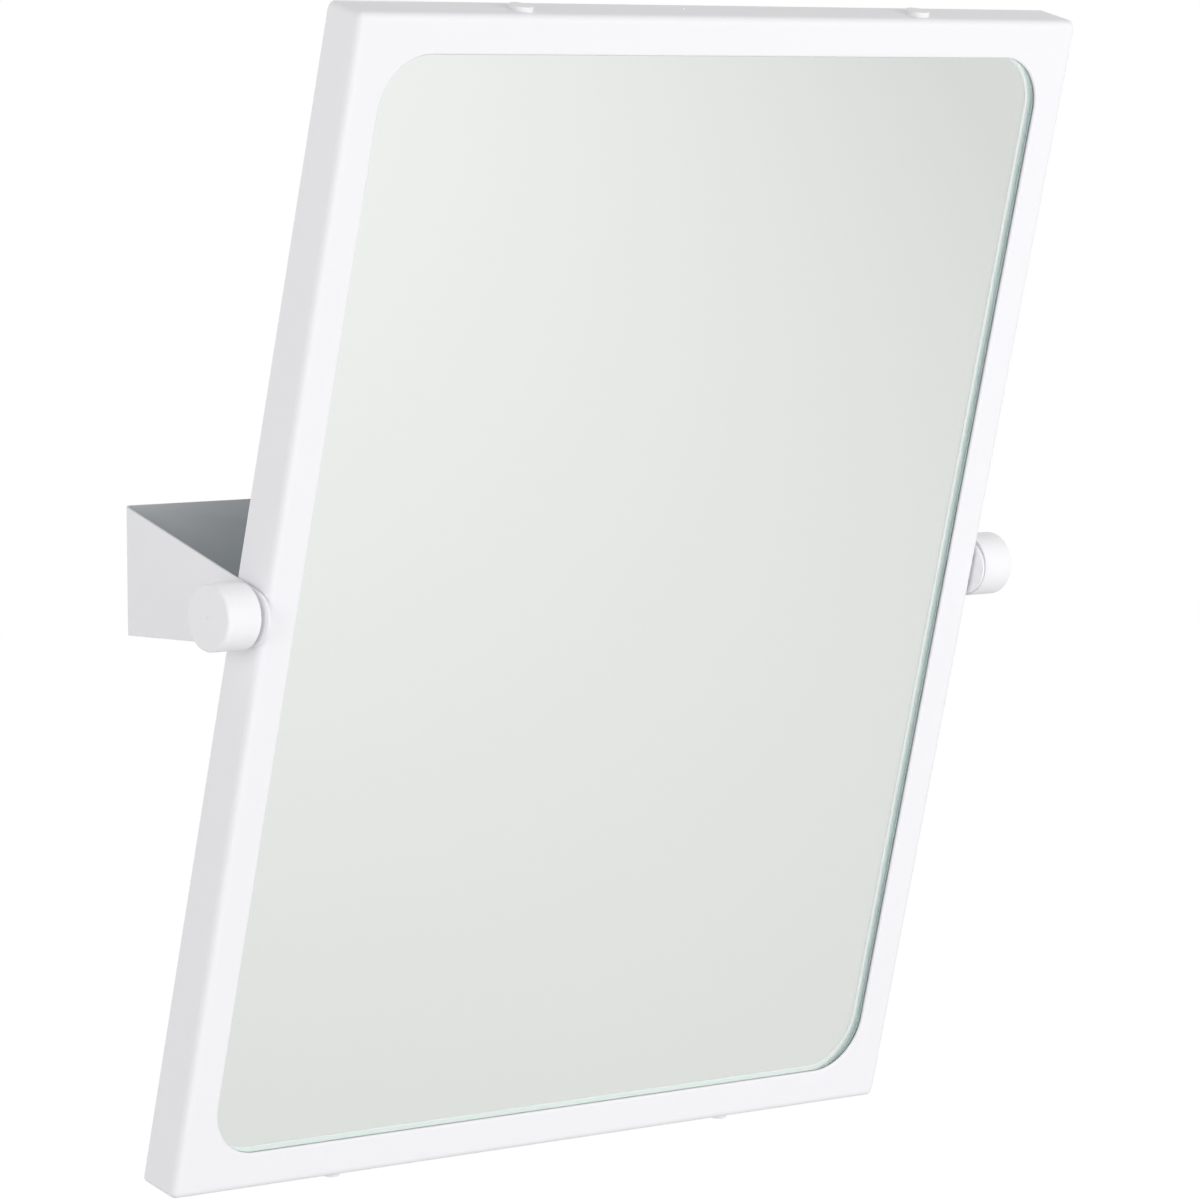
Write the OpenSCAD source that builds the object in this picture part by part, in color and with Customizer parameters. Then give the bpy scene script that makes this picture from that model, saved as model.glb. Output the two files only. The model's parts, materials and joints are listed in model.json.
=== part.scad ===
// Pivot wall mirror: a white framed mirror that tilts between the arms of a
// bent sheet wall bracket and is clamped by a knob on each side.
// Row frame: +X right, +Y into the wall, +Z up. The origin is the centre of
// the bracket's plate on its wall face. All sizes are in millimetres.

/* [Frame] */
// Overall width of the frame
frame_w = 480; // [400:5:620]
// Overall height of the frame
frame_h = 600; // [460:5:640]
// Depth of the frame, front face to back edge
frame_d = 25; // [24:0.5:32]
// Rounding of the front edges and of the four outer corners
edge_r = 4; // [2:0.5:6]
// Visible border between the outside of the frame and the window
border_w = 20; // [18:0.5:32]
// Corner radius of the window
window_r = 28; // [14:1:40]
// Thickness of the lip around the window, in front of the glass
lip_t = 2; // [1.5:0.1:2.6]
// Thickness of the front wall outside the glass
front_t = 3; // [2.8:0.1:4]
// Thickness of the four outer walls
wall_t = 3; // [2.4:0.1:4]

/* [Glass] */
// Thickness of the float glass
glass_t = 5; // [4:0.5:6]
// How far the glass reaches behind the lip on every side
glass_lap = 6; // [4:0.5:7]
// Room between the edge of the glass and its rebate
glass_play = 0.5; // [0.3:0.1:1]
// Thickness of the silver coat with its safety backing
backing_t = 0.4; // [0.2:0.1:0.8]
// Thickness of the foam ring once pressed
foam_t = 3; // [2:0.5:4]
// Width of the foam ring
foam_w = 8; // [5:0.5:12]

/* [Rear tray] */
// Thickness of the tray's back panel
tray_t = 2; // [1.6:0.1:3]
// Room between the tray and the frame's walls
tray_play = 0.3; // [0.2:0.1:0.6]
// Thickness of the tray's ribs
rib_t = 2; // [1.5:0.1:3]
// Height of the low stiffening ribs
low_rib_h = 3; // [2:0.5:5]
// Number of low upright ribs
low_ribs = 4; // [2:1:8]
// Width of a screw boss
boss_w = 14; // [10:1:20]

/* [Pivot] */
// Distance of the pivot axis from the wall
pivot_to_wall = 95; // [94:1:140]
// Forward tilt of the mirror, as shown
tilt = 15; // [0:1:15]
// Distance of the pivot axis behind the frame's front face
pivot_depth = 12.5; // [12:0.1:14]
// Diameter of the stud's shoulder, which turns in the arm
shoulder_d = 10; // [9:0.5:12]
// Core diameter of the stud's thread
thread_d = 6.9; // [5:0.1:7.5]
// Radial play of the shoulder in the arm and of the thread in its insert
pivot_play = 0.05; // [0.02:0.01:0.09]
// Outer diameter of the threaded insert
insert_d = 11; // [10:0.5:13]
// Height of a pivot block
block_h = 50; // [30:1:80]
// Thickness of the friction washer between frame and arm
washer_t = 0.75; // [0.5:0.05:1.5]
// Outer diameter of the friction washer
washer_d = 22; // [16:1:26]
// Free gap of a face that slides on another
slide_gap = 0.05; // [0.03:0.01:0.1]

/* [Knobs] */
// Diameter of a knob
knob_d = 33; // [28:0.5:40]
// Length of a knob
knob_l = 20.2; // [16:0.1:26]
// Rounding of the knob's outer rim
knob_rim_r = 1.6; // [0.8:0.1:3]
// Rounding of the knob's inner rim
knob_heel_r = 0.6; // [0.3:0.1:1.5]
// Thickness of the spacer washer between knob and arm
spacer_t = 2.55; // [1.5:0.05:4]
// Outer diameter of the spacer washer
spacer_d = 24; // [18:1:26]
// Width across the corners of the stud's hex head
hex_d = 15; // [14.5:0.5:18]
// Thickness of the stud's hex head
hex_t = 5.5; // [4:0.5:7]

/* [Wall bracket] */
// Thickness of the bracket's sheet
sheet_t = 1.5; // [1.2:0.1:2.5]
// Outer radius of the two bends
bend_r = 3; // [2.6:0.1:5]
// Height of the wall plate
plate_h = 64; // [50:1:90]
// Drop of the bracket's lower edge below the pivot axis
axis_drop = 14.8; // [14.5:0.1:20]
// Radius of the arm's nose
nose_r = 14; // [12:0.1:14.4]
// Reach of the arm's nose in front of the pivot axis
nose_reach = 18.4; // [16:0.1:24]
// Diameter of the wall screw holes
wall_hole_d = 6.5; // [4.5:0.5:8.5]
// Spacing of the wall screw holes from side to side
wall_hole_x = 280; // [200:5:360]
// Spacing of the wall screw holes from top to bottom
wall_hole_z = 32; // [20:1:36]

/* [Screws and caps] */
// Diameter of a screw cap
cap_d = 12; // [11:0.5:14]
// Height of a screw cap
cap_h = 2.5; // [2.4:0.1:3.5]
// Wall of a screw cap
cap_wall = 0.8; // [0.5:0.1:0.9]
// Rounding of the cap's upper rim
cap_rim_r = 0.5; // [0.2:0.1:0.7]
// Spacing of the two caps on one face
cap_pitch = 266; // [120:2:320]
// Distance of the caps behind the frame's front face
cap_depth = 10.5; // [8:0.5:13]
// Diameter of the tray screw's shank
screw_d = 3.9; // [3:0.1:4.5]
// Length of the tray screw's shank
screw_l = 11; // [8:0.5:12]
// Diameter of the tray screw's head
head_d = 8; // [6:0.5:9]
// Height of the tray screw's head
head_h = 1.4; // [1:0.1:1.5]
// Play of the screw's shank in its boss
screw_play = 0.05; // [0.03:0.01:0.1]

/* [Hidden] */

WHITE = [0.96, 0.96, 0.97];
LIGHT_GREY = [0.86, 0.87, 0.87];
BLUE_GREY = [0.47, 0.53, 0.56];
STEEL = [0.66, 0.67, 0.69];
BRASS = [0.80, 0.66, 0.36];
DARK = [0.22, 0.23, 0.24];
MIRROR = [0.88, 0.91, 0.89];
GLASS = [0.80, 0.90, 0.86, 0.5];

LEFT = -1;
RIGHT = 1;
BOTTOM = -1;
TOP = 1;
ROUND = 96;
EPS = 0.01;

// Seat that is moulded or pressed round its piece
seat_gap = 0.02;
// Play of a screw in the wall that it only passes
pass_play = 0.2;
// Free space between the glass and what stands beside it
glass_guard = 1;

// Local frame of the mirror: its origin is on the pivot axis
front_y = -pivot_depth;
back_y = front_y + frame_d;
window_w = frame_w - 2 * border_w;
window_h = frame_h - 2 * border_w;
inner_w = frame_w - 2 * wall_t;
inner_h = frame_h - 2 * wall_t;
glass_w = window_w + 2 * glass_lap;
glass_h = window_h + 2 * glass_lap;
glass_r = window_r + glass_lap;
glass_y = front_y + lip_t;
backing_y = glass_y + glass_t;
foam_y = backing_y + backing_t;
rib_y = foam_y + foam_t;
panel_y = back_y - tray_t;
cavity_y = front_y + front_t;

// Stack from the frame's side outwards
arm_in = frame_w / 2 + washer_t + slide_gap;
arm_out = arm_in + sheet_t;
spacer_in = arm_out + slide_gap;
knob_in = spacer_in + spacer_t;
knob_out = knob_in + knob_l;

// Pivot block in its pocket
block_in = glass_w / 2 + glass_play + glass_guard;
block_out = inner_w / 2;
pocket_rib_t = 2.5;
pocket_play = 0.2;

// Foam ring, and the rib ring that presses on its middle
foam_inset = 1;
ring_inset = foam_inset + foam_w / 2;
ring_w = glass_w - 2 * ring_inset;
ring_h = glass_h - 2 * ring_inset;

// Bosses and screws
boss_in = glass_h / 2 + glass_play + glass_guard;
boss_out = inner_h / 2 - tray_play;
boss_y = cavity_y + 1;
cap_y = front_y + cap_depth;

// Bracket, with the pivot below the middle of the plate
bracket_w = 2 * arm_out;
pivot_y = -pivot_to_wall;
pivot_z = axis_drop - plate_h / 2;
plate_top = plate_h / 2;
plate_bottom = -plate_h / 2;
nose_y = pivot_y - nose_reach + nose_r;
nose_z = plate_bottom + nose_r;

// Small marks left by the moulding tools
gate_d = 1.6;
gate_h = 0.5;
gate_x = -22.5;
gate_depth = 16.5;
dimple_d = 1.8;
dimple_h = 0.4;

// Place children given in the mirror's local frame
module in_mirror() {
    translate([0, pivot_y, pivot_z]) rotate([tilt, 0, 0]) children();
}

// Place children on the pivot axis without the tilt
module on_axis() {
    translate([0, pivot_y, pivot_z]) children();
}

// Rod along X from x0 to x1, on the axis
module rod_x(d, x0, x1, sides = ROUND) {
    translate([min(x0, x1), 0, 0]) rotate([0, 90, 0]) cylinder(d = d, h = abs(x1 - x0), $fn = sides);
}

// Tube along X from x0 to x1, on the axis
module tube_x(d, bore, x0, x1) {
    difference() {
        rod_x(d, x0, x1);
        rod_x(bore, min(x0, x1) - 1, max(x0, x1) + 1);
    }
}

// Upright block that is centred in X and Z and runs from y0 to y1
module slab(w, h, y0, y1) {
    translate([-w / 2, y0, -h / 2]) cube([w, y1 - y0, h]);
}

// The same with round corners seen from the front
module round_slab(w, h, r, y0, y1) {
    slab(w - 2 * r, h, y0, y1);
    slab(w, h - 2 * r, y0, y1);
    for (sx = [LEFT, RIGHT], sz = [BOTTOM, TOP])
        translate([sx * (w / 2 - r), y1, sz * (h / 2 - r)])
            rotate([90, 0, 0]) cylinder(r = r, h = y1 - y0, $fn = ROUND);
}

// Body with round front edges and round corners, open to nothing yet
module frame_body() {
    r = edge_r;
    slab(frame_w - 2 * r, frame_h - 2 * r, front_y, back_y);
    round_slab(frame_w, frame_h, r, front_y + r, back_y);
    for (s = [-1, 1]) {
        translate([s * (frame_w / 2 - r), front_y + r, -frame_h / 2 + r])
            cylinder(r = r, h = frame_h - 2 * r, $fn = ROUND);
        translate([-frame_w / 2 + r, front_y + r, s * (frame_h / 2 - r)])
            rotate([0, 90, 0]) cylinder(r = r, h = frame_w - 2 * r, $fn = ROUND);
        for (sz = [BOTTOM, TOP])
            translate([s * (frame_w / 2 - r), front_y + r, sz * (frame_h / 2 - r)])
                sphere(r = r, $fn = ROUND);
    }
}

// Places of the two screws on one face of the frame
module at_screws(side) {
    for (sx = [LEFT, RIGHT]) at_screw(sx, side) children();
}

// Place of one screw: its local +Z points out of the frame
module at_screw(sx, side) {
    translate([sx * cap_pitch / 2, cap_y, side * frame_h / 2])
        rotate([side == TOP ? 0 : 180, 0, 0]) children();
}

// Ribs that hold a pivot block from above and below
module pocket_ribs(side) {
    for (sz = [BOTTOM, TOP]) {
        z0 = sz * (block_h / 2 + pocket_play + pocket_rib_t / 2) - pocket_rib_t / 2;
        translate([side == LEFT ? -block_out - EPS : block_in, cavity_y - EPS, z0])
            cube([block_out - block_in + EPS, panel_y - cavity_y - pocket_play + EPS, pocket_rib_t]);
    }
}

module front_frame() {
    color(WHITE) in_mirror() difference() {
        union() {
            difference() {
                frame_body();
                round_slab(window_w, window_h, window_r, front_y - 1, back_y + 1);
                round_slab(glass_w + 2 * glass_play, glass_h + 2 * glass_play, glass_r, glass_y, back_y + 1);
                slab(inner_w, inner_h, cavity_y, back_y + 1);
            }
            pocket_ribs(LEFT);
            pocket_ribs(RIGHT);
            translate([gate_x, front_y + gate_depth, frame_h / 2 - EPS])
                cylinder(d = gate_d, h = gate_h + EPS, $fn = 32);
        }
        for (s = [LEFT, RIGHT])
            rod_x(thread_d + 2 * pass_play, s * (inner_w / 2 - 1), s * (frame_w / 2 + 1));
        for (side = [BOTTOM, TOP])
            at_screws(side) translate([0, 0, -wall_t - 1])
                cylinder(d = screw_d + 2 * pass_play, h = wall_t + 2, $fn = 48);
    }
}

module mirror_glass() {
    color(GLASS) in_mirror() round_slab(glass_w, glass_h, glass_r, glass_y, backing_y);
}

module silver_backing() {
    color(MIRROR) in_mirror() round_slab(glass_w, glass_h, glass_r, backing_y, foam_y);
}

// Slab inside the glass's outline, its edge "inset" inwards from the glass's edge
module inside_glass(inset, y0, y1) {
    round_slab(glass_w - 2 * inset, glass_h - 2 * inset, glass_r - inset, y0, y1);
}

module foam_ring() {
    color(DARK) in_mirror() difference() {
        inside_glass(foam_inset, foam_y, rib_y);
        inside_glass(foam_inset + foam_w, foam_y - 1, rib_y + 1);
    }
}

// Rib ring, low ribs and four screw bosses on a flat back panel
module rear_tray() {
    color(BLUE_GREY) in_mirror() difference() {
        union() {
            slab(inner_w - 2 * tray_play, inner_h - 2 * tray_play, panel_y, back_y);
            difference() {
                inside_glass(ring_inset - rib_t / 2, rib_y, panel_y + EPS);
                inside_glass(ring_inset + rib_t / 2, rib_y - 1, panel_y + 1);
            }
            for (i = [1:low_ribs]) {
                x = ring_w * (i / (low_ribs + 1) - 0.5);
                translate([x - rib_t / 2, panel_y - low_rib_h, -ring_h / 2])
                    cube([rib_t, low_rib_h + EPS, ring_h]);
            }
            for (sx = [LEFT, RIGHT], sz = [BOTTOM, TOP])
                translate([sx * cap_pitch / 2 - boss_w / 2, boss_y, sz > 0 ? boss_in : -boss_out])
                    cube([boss_w, panel_y - boss_y + EPS, boss_out - boss_in]);
        }
        for (side = [BOTTOM, TOP])
            at_screws(side) translate([0, 0, -wall_t - screw_l])
                cylinder(d = screw_d + 2 * screw_play, h = screw_l, $fn = 48);
    }
}

module pivot_block(side) {
    color(DARK) in_mirror() difference() {
        translate([side == LEFT ? -block_out : block_in, cavity_y, -block_h / 2])
            cube([block_out - block_in, panel_y - cavity_y, block_h]);
        rod_x(insert_d + 2 * seat_gap, side * (block_in - 1), side * (block_out + 1));
    }
}

module insert(side) {
    color(BRASS) in_mirror()
        tube_x(insert_d, thread_d + 2 * pivot_play, side * block_in, side * block_out);
}

// Hex head in the knob, shoulder through the arm, thread into the insert
module stud(side) {
    color(STEEL) on_axis() {
        rod_x(hex_d, side * (knob_in + 2), side * (knob_in + 2 + hex_t), 6);
        rod_x(shoulder_d, side * (frame_w / 2 + slide_gap), side * (knob_in + 2));
        rod_x(thread_d, side * block_in, side * (frame_w / 2 + slide_gap));
    }
}

module friction_washer(side) {
    color(LIGHT_GREY) in_mirror()
        tube_x(washer_d, shoulder_d + 2 * pivot_play, side * frame_w / 2, side * (frame_w / 2 + washer_t));
}

module spacer_washer(side) {
    color(LIGHT_GREY) on_axis()
        tube_x(spacer_d, shoulder_d + 2 * seat_gap, side * spacer_in, side * knob_in);
}

// Half section of a knob: radius along X, height along Y from the inner rim
module knob_section() {
    r = knob_d / 2;
    square([r - knob_rim_r, knob_l]);
    translate([0, knob_heel_r]) square([r, knob_l - knob_rim_r - knob_heel_r]);
    translate([r - knob_rim_r, knob_l - knob_rim_r]) circle(r = knob_rim_r, $fn = 64);
    translate([r - knob_heel_r, knob_heel_r]) circle(r = knob_heel_r, $fn = 32);
    square([r - knob_heel_r, knob_l - knob_rim_r]);
}

module knob(side) {
    color(WHITE) on_axis() difference() {
        translate([side * knob_in, 0, 0]) rotate([0, side * 90, 0])
            rotate_extrude($fn = ROUND) knob_section();
        rod_x(shoulder_d + 2 * seat_gap, side * (knob_in - 1), side * (knob_in + 2));
        rod_x(hex_d + 2 * seat_gap, side * (knob_in + 2 - seat_gap), side * (knob_in + 2 + hex_t + seat_gap), 6);
        rod_x(dimple_d, side * (knob_out - dimple_h), side * (knob_out + 1), 32);
    }
}

module tray_screw(sx, side) {
    color(STEEL) in_mirror() at_screw(sx, side) {
        translate([0, 0, -wall_t - screw_l + 1]) cylinder(d = screw_d, h = wall_t + screw_l - 1, $fn = 48);
        cylinder(d = head_d, h = head_h, $fn = 64);
    }
}

// Half section of a cap: a shallow cup with a round upper rim
module cap_section() {
    r = cap_d / 2;
    square([r - cap_rim_r, cap_h]);
    square([r, cap_h - cap_rim_r]);
    translate([r - cap_rim_r, cap_h - cap_rim_r]) circle(r = cap_rim_r, $fn = 32);
}

module screw_cap(sx, side) {
    color(WHITE) in_mirror() at_screw(sx, side) difference() {
        rotate_extrude($fn = ROUND) cap_section();
        translate([0, 0, -1]) cylinder(d = cap_d - 2 * cap_wall, h = cap_h - cap_wall + 1, $fn = 64);
    }
}

// Plan of the folded sheet seen from above, its back on the wall at y = 0
module fold_outline(w, r, reach) {
    translate([-w / 2, -reach]) square([w, reach - r]);
    translate([-w / 2 + r, -reach]) square([w - 2 * r, reach]);
    for (s = [-1, 1]) translate([s * (w / 2 - r), -r]) circle(r = r, $fn = ROUND);
}

// Side view of an arm: level lower edge, round nose, slope up to the plate's top
module arm_outline() {
    dy = -nose_y;
    dz = plate_top - nose_z;
    touch = atan2(dz, dy) + acos(nose_r / sqrt(dy * dy + dz * dz));
    polygon([
        [1, plate_bottom],
        [1, plate_top],
        [0, plate_top],
        [nose_y + nose_r * cos(touch), nose_z + nose_r * sin(touch)],
        [nose_y, nose_z],
        [nose_y, plate_bottom]
    ]);
    translate([nose_y, nose_z]) circle(r = nose_r, $fn = ROUND);
}

module wall_bracket() {
    reach = pivot_to_wall + nose_reach;
    color(WHITE) difference() {
        intersection() {
            translate([0, 0, plate_bottom]) linear_extrude(plate_h) difference() {
                fold_outline(bracket_w, bend_r, reach + 1);
                translate([0, -sheet_t])
                    fold_outline(bracket_w - 2 * sheet_t, bend_r - sheet_t, reach + 1);
            }
            translate([-bracket_w, 0, 0]) rotate([90, 0, 90])
                linear_extrude(2 * bracket_w) arm_outline();
        }
        on_axis() rod_x(shoulder_d + 2 * pivot_play, -arm_out - 1, arm_out + 1);
        for (sx = [-1, 1], sz = [-1, 1])
            translate([sx * wall_hole_x / 2, 1, sz * wall_hole_z / 2])
                rotate([90, 0, 0]) cylinder(d = wall_hole_d, h = sheet_t + 2, $fn = 48);
    }
}

wall_bracket();
front_frame();
mirror_glass();
silver_backing();
foam_ring();
rear_tray();
pivot_block(LEFT);  // pivot_block_left
pivot_block(RIGHT);  // pivot_block_right
insert(LEFT);  // insert_left
insert(RIGHT);  // insert_right
stud(LEFT);  // stud_left
stud(RIGHT);  // stud_right
friction_washer(LEFT);  // friction_washer_left
friction_washer(RIGHT);  // friction_washer_right
spacer_washer(LEFT);  // spacer_washer_left
spacer_washer(RIGHT);  // spacer_washer_right
knob(LEFT);  // knob_left
knob(RIGHT);  // knob_right
tray_screw(LEFT, TOP);  // tray_screw_top_left
tray_screw(RIGHT, TOP);  // tray_screw_top_right
tray_screw(LEFT, BOTTOM);  // tray_screw_bottom_left
tray_screw(RIGHT, BOTTOM);  // tray_screw_bottom_right
screw_cap(LEFT, TOP);  // screw_cap_top_left
screw_cap(RIGHT, TOP);  // screw_cap_top_right
screw_cap(LEFT, BOTTOM);  // screw_cap_bottom_left
screw_cap(RIGHT, BOTTOM);  // screw_cap_bottom_right
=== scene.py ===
"""Looks of the pivot wall mirror: a white framed mirror that tilts between the arms of a bent
sheet bracket and is clamped by a knob on each side.

Shapes are drawn in millimetres, as in a workshop, and scaled to Blender's metres when a piece
is put in its place. The mirror's pieces are drawn in the mirror's own frame, whose origin is on
the pivot axis and whose -Y side is the front, and are then tilted as the photograph shows.
"""

import json
import logging
import math
from dataclasses import dataclass, field, fields
from enum import Enum
from typing import Callable, ClassVar

import bmesh
import bpy
from mathutils import Matrix, Vector


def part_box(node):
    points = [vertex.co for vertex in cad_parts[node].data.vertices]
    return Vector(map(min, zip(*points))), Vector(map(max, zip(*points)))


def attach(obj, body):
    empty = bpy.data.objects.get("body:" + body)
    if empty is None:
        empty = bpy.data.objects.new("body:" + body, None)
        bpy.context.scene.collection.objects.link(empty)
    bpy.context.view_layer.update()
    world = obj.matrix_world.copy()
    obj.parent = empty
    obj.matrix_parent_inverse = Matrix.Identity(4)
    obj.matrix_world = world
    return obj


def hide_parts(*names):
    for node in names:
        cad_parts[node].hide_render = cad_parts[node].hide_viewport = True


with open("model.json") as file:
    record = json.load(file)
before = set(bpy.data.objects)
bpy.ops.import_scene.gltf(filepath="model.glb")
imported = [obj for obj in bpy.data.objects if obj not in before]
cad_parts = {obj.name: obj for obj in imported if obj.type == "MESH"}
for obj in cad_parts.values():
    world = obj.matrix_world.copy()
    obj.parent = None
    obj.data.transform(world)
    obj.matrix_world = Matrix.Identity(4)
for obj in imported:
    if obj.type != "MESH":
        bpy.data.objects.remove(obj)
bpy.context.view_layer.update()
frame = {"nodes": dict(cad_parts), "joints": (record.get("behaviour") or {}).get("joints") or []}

LOG = logging.getLogger("pivot_mirror")

MM = 0.001
TINY = 0.02
SMOOTH_BELOW = math.radians(38)
FINE_STEPS = 3
FLOAT, VECTOR, COLOUR = "NodeSocketFloat", "NodeSocketVector", "NodeSocketColor"

Colour = tuple[float, float, float]
Point2 = tuple[float, float]
Point3 = tuple[float, float, float]
Sockets = bpy.types.bpy_prop_collection
Source = bpy.types.Node | bpy.types.NodeSocket


class Side(Enum):
    """Left or right as seen from the front; the value is the sign of X."""

    LEFT = -1
    RIGHT = 1

    @property
    def node_end(self) -> str:
        """The word that ends the names of this side's CAD nodes."""
        return self.name.lower()


class Edge(Enum):
    """Bottom or top of the mirror; the value is the sign of Z."""

    BOTTOM = -1
    TOP = 1


class Body(Enum):
    """The bodies that move, as the joints name them."""

    BRACKET = "bracket"
    MIRROR = "mirror"
    LEFT_KNOB = "left_knob"
    RIGHT_KNOB = "right_knob"


class Slot(Enum):
    """The record's material slots."""

    BRACKET_PAINT = "bracket_paint"
    FRAME_WHITE = "frame_white"
    FLOAT_GLASS = "float_glass"
    SILVER = "silver"
    FOAM = "foam"
    TRAY_PLASTIC = "tray_plastic"
    BLOCK_NYLON = "block_nylon"
    INSERT_BRASS = "insert_brass"
    ZINC_STEEL = "zinc_steel"
    WASHER_NYLON = "washer_nylon"
    KNOB_WHITE = "knob_white"
    CAP_WHITE = "cap_white"


# ---------------------------------------------------------------- shader building


def with_alpha(colour: Colour) -> tuple[float, float, float, float]:
    """Adds full opacity to a colour."""
    return (*colour, 1.0)


class Wiring:
    """A node tree under construction."""

    def __init__(self, tree: bpy.types.NodeTree) -> None:
        """Takes the node tree of a material, world or group, and empties it."""
        self.tree = tree
        tree.nodes.clear()

    def feed(self, target: bpy.types.NodeSocket, value: object) -> None:
        """Joins an output to an input, or sets the input's own value.

        Args:
            target: The input.
            value: An output, a node whose first output is meant, or a plain value.
        """
        if isinstance(value, bpy.types.Node):
            value = value.outputs[0]
        if isinstance(value, bpy.types.NodeSocket):
            self.tree.links.new(value, target)
        else:
            target.default_value = value

    def add(self, kind: str, **values: object) -> bpy.types.Node:
        """Adds a node, sets its properties and feeds its inputs.

        Args:
            kind: Blender's type name of the node, after ShaderNode.
            values: Properties by their name; inputs as in_ and the socket's name or number.

        Returns:
            The new node.
        """
        node = self.tree.nodes.new(f"ShaderNode{kind}")
        for key, value in values.items():
            if key.startswith("in_"):
                name = key.removeprefix("in_").replace("_", " ")
                self.feed(node.inputs[int(name) if name.isdigit() else name], value)
            else:
                setattr(node, key, value)
        return node

    def noise(self, scale: object, detail: float, roughness: float = 0.5) -> bpy.types.Node:
        """Adds a noise over the object's own coordinates.

        Args:
            scale: Its grains per metre, as a number or an output.
            detail: How many finer layers it has.
            roughness: How strong they are.

        Returns:
            The noise, whose first output is its strength.
        """
        place = self.add("TexCoord").outputs["Object"]
        return self.add("TexNoise", in_Vector=place, in_Scale=scale, in_Detail=detail,
                        in_Roughness=roughness)

    def blend(self, share: object, first: object, second: object) -> bpy.types.NodeSocket:
        """Adds a mix of two colours.

        Args:
            share: Share of the second colour.
            first: The first colour.
            second: The second colour.

        Returns:
            The mixed colour.
        """
        mixed = 2  # a Mix node's colours: inputs 6 and 7, output 2
        return self.add("Mix", data_type="RGBA", in_0=share, in_6=first,
                        in_7=second).outputs[mixed]


class Effect:
    """A shader node group that several finishes share, built once."""

    title = "effect"
    inputs: dict[str, tuple[str, object]] = {}
    outputs: dict[str, str] = {}
    made: dict[str, bpy.types.NodeTree] = {}

    @classmethod
    def tree(cls) -> bpy.types.NodeTree:
        """Gives the group, building it at the first call.

        Returns:
            The shader node group with its named sockets.
        """
        if cls.title not in cls.made:
            tree = bpy.data.node_groups.new(cls.title, "ShaderNodeTree")
            for name, (kind, value) in cls.inputs.items():
                socket = tree.interface.new_socket(name=name, in_out="INPUT", socket_type=kind)
                socket.default_value = value
            for name, kind in cls.outputs.items():
                tree.interface.new_socket(name=name, in_out="OUTPUT", socket_type=kind)
            wiring = Wiring(tree)
            given = tree.nodes.new("NodeGroupInput").outputs
            wanted = tree.nodes.new("NodeGroupOutput").inputs
            for target, value in zip(wanted, cls.wire(wiring, given)):
                wiring.feed(target, value)
            cls.made[cls.title] = tree
        return cls.made[cls.title]

    @classmethod
    def wire(cls, wiring: Wiring, given: Sockets) -> tuple[Source, ...]:
        """Wires the group's inside; each effect has its own.

        Args:
            wiring: The group's tree.
            given: The group's input values.

        Returns:
            What the group puts out, in the order of its outputs.
        """
        raise NotImplementedError


class SurfaceGrain(Effect):
    """Fine grain that a mould or a coat of powder leaves, as a height and as a mask."""

    title = "surface grain"
    inputs = {
        "Grains per metre": (FLOAT, 1200.0),
        "Waves per metre": (FLOAT, 60.0),
        "Wave share": (FLOAT, 0.3),
    }
    outputs = {"Height": FLOAT, "Mask": FLOAT}

    @classmethod
    def wire(cls, wiring: Wiring, given: Sockets) -> tuple[Source, ...]:
        """Mixes fine grains with slow waves.

        Args:
            wiring: The group's tree.
            given: The group's input values.

        Returns:
            Height and mask.
        """
        grain = wiring.noise(given["Grains per metre"], detail=2.0, roughness=0.55)
        wave = wiring.noise(given["Waves per metre"], detail=1.0, roughness=0.4)
        return wiring.add("Mix", in_Factor=given["Wave share"], in_A=grain, in_B=wave), grain


class SoftTone(Effect):
    """Slow drift between two near tones, as in every batch of moulded or coated goods."""

    title = "soft tone"
    inputs = {
        "Tone": (COLOUR, (1.0, 1.0, 1.0, 1.0)),
        "Other tone": (COLOUR, (0.9, 0.9, 0.9, 1.0)),
        "Patches per metre": (FLOAT, 9.0),
        "Speck": (FLOAT, 0.15),
    }
    outputs = {"Color": COLOUR}

    @classmethod
    def wire(cls, wiring: Wiring, given: Sockets) -> tuple[Source, ...]:
        """Mixes the two tones by broad patches and a little fine speck.

        Args:
            wiring: The group's tree.
            given: The group's input values.

        Returns:
            The colour.
        """
        specks_per_metre = 900.0
        patch = wiring.noise(given["Patches per metre"], detail=2.0)
        speck = wiring.noise(specks_per_metre, detail=1.0)
        share = wiring.add("Mix", in_Factor=given["Speck"], in_A=patch, in_B=speck)
        return (wiring.blend(share, given["Tone"], given["Other tone"]),)


class EdgePolish(Effect):
    """Mask of the edges that hands and cloths polish."""

    title = "edge polish"
    inputs = {"Reach": (FLOAT, 0.06)}
    outputs = {"Mask": FLOAT}

    @classmethod
    def wire(cls, wiring: Wiring, given: Sockets) -> tuple[Source, ...]:
        """Reads how pointed the surface is, broken up by a soft noise.

        Args:
            wiring: The group's tree.
            given: The group's input values.

        Returns:
            The mask.
        """
        flat = 0.5
        rubs_per_metre = 110.0
        shape = wiring.add("NewGeometry").outputs["Pointiness"]
        limit = wiring.add("Math", operation="ADD", in_0=flat, in_1=given["Reach"])
        edge = wiring.add("MapRange", interpolation_type="SMOOTHSTEP", in_Value=shape,
                          in_From_Min=flat, in_From_Max=limit)
        rub = wiring.noise(rubs_per_metre, detail=3.0)
        return (wiring.add("Math", operation="MULTIPLY", use_clamp=True, in_0=edge, in_1=rub),)


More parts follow.
